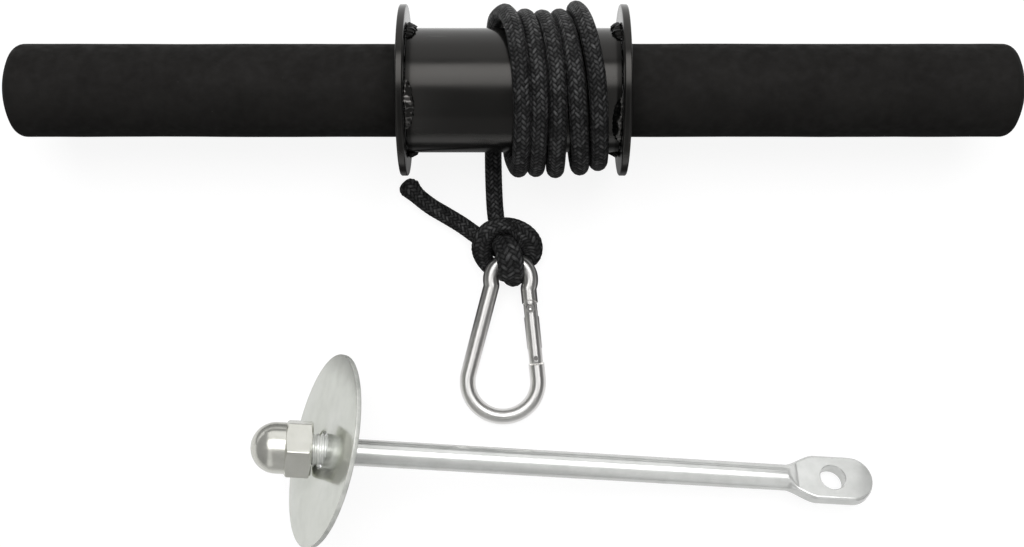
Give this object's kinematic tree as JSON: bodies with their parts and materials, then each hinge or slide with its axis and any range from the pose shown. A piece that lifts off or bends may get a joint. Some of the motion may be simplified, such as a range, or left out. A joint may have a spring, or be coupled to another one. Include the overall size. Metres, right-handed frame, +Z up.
{
  "type": "forearm trainer",
  "caption": "Wrist roller bar with foam grips and a flanged drum, a rope knotted to a snap hook, and a loose loading pin with a disc and an acorn nut",
  "frame": {"origin": "on the surface that the set lies on, under the middle of its bounding box", "axes": "+X along the roller bar, +Y from the loading pin towards the bar, +Z up"},
  "size_m": [0.417, 0.222, 0.0744],
  "materials": {
    "foam": "matte closed-cell foam with fine specks",
    "black_enamel": "gloss black enamel with small scratches",
    "weld_metal": "lumpy weld bead under thin black enamel",
    "rope_braid": "tight black polyester braid",
    "bright_plate": "bright nickel plate",
    "spring_steel": "plain drawn spring wire",
    "zinc_plate": "bright zinc plate with fine mottling"
  },
  "bodies": {
    "roller": {"grip_left": "foam", "grip_right": "foam", "handle_tube_left": "black_enamel", "handle_tube_right": "black_enamel", "drum": "black_enamel", "flange_left": "black_enamel", "flange_right": "black_enamel", "weld_left_1": "weld_metal", "weld_left_2": "weld_metal", "weld_left_3": "weld_metal", "weld_left_4": "weld_metal", "weld_right_1": "weld_metal", "weld_right_2": "weld_metal", "weld_right_3": "weld_metal", "weld_right_4": "weld_metal", "rope_winding": "rope_braid", "rope_line": "rope_braid", "rope_in_drum_wall": "rope_braid", "rope_stopper_knot": "rope_braid"},
    "snap_hook": {"snap_hook_body": "bright_plate", "gate_rivet": "bright_plate"},
    "gate": {"snap_hook_gate": "bright_plate", "gate_latch_pin": "bright_plate", "gate_plunger": "spring_steel", "gate_spring": "spring_steel"},
    "loading_pin": {"loading_rod": "zinc_plate"},
    "disc": {"weight_disc": "zinc_plate"},
    "nut": {"acorn_nut": "zinc_plate"}
  },
  "joints": [
    {"name": "hook_swing", "type": "hinge", "parent": "roller", "child": "snap_hook", "pos_m": [-0.0006, 0.0064, 0.0124], "axis": [-0.9972, 0.075, 0], "range_deg": [0, 90]},
    {"name": "gate_pivot", "type": "hinge", "parent": "snap_hook", "child": "gate", "pos_m": [0.00726, -0.01342, 0.00985], "axis": [0.0099, 0.1316, -0.9913], "range_deg": [0, 22], "stiffness_Nm_per_rad": 0.05, "springref_deg": -20.05},
    {"name": "pin_carry", "type": "slide", "parent": "roller", "child": "disc", "axis": [0, -1, 0], "range_m": [0, 0.15]},
    {"name": "rod_through_disc", "type": "slide", "parent": "disc", "child": "loading_pin", "axis": [-0.9888, 0.0744, 0.1291], "range_m": [0, 0.175]},
    {"name": "nut_turn", "type": "hinge", "parent": "loading_pin", "child": "nut", "pos_m": [-0.0778, -0.07176, 0.03729], "axis": [0.9888, -0.0744, -0.1291], "range_deg": [0, 360]}
  ]
}
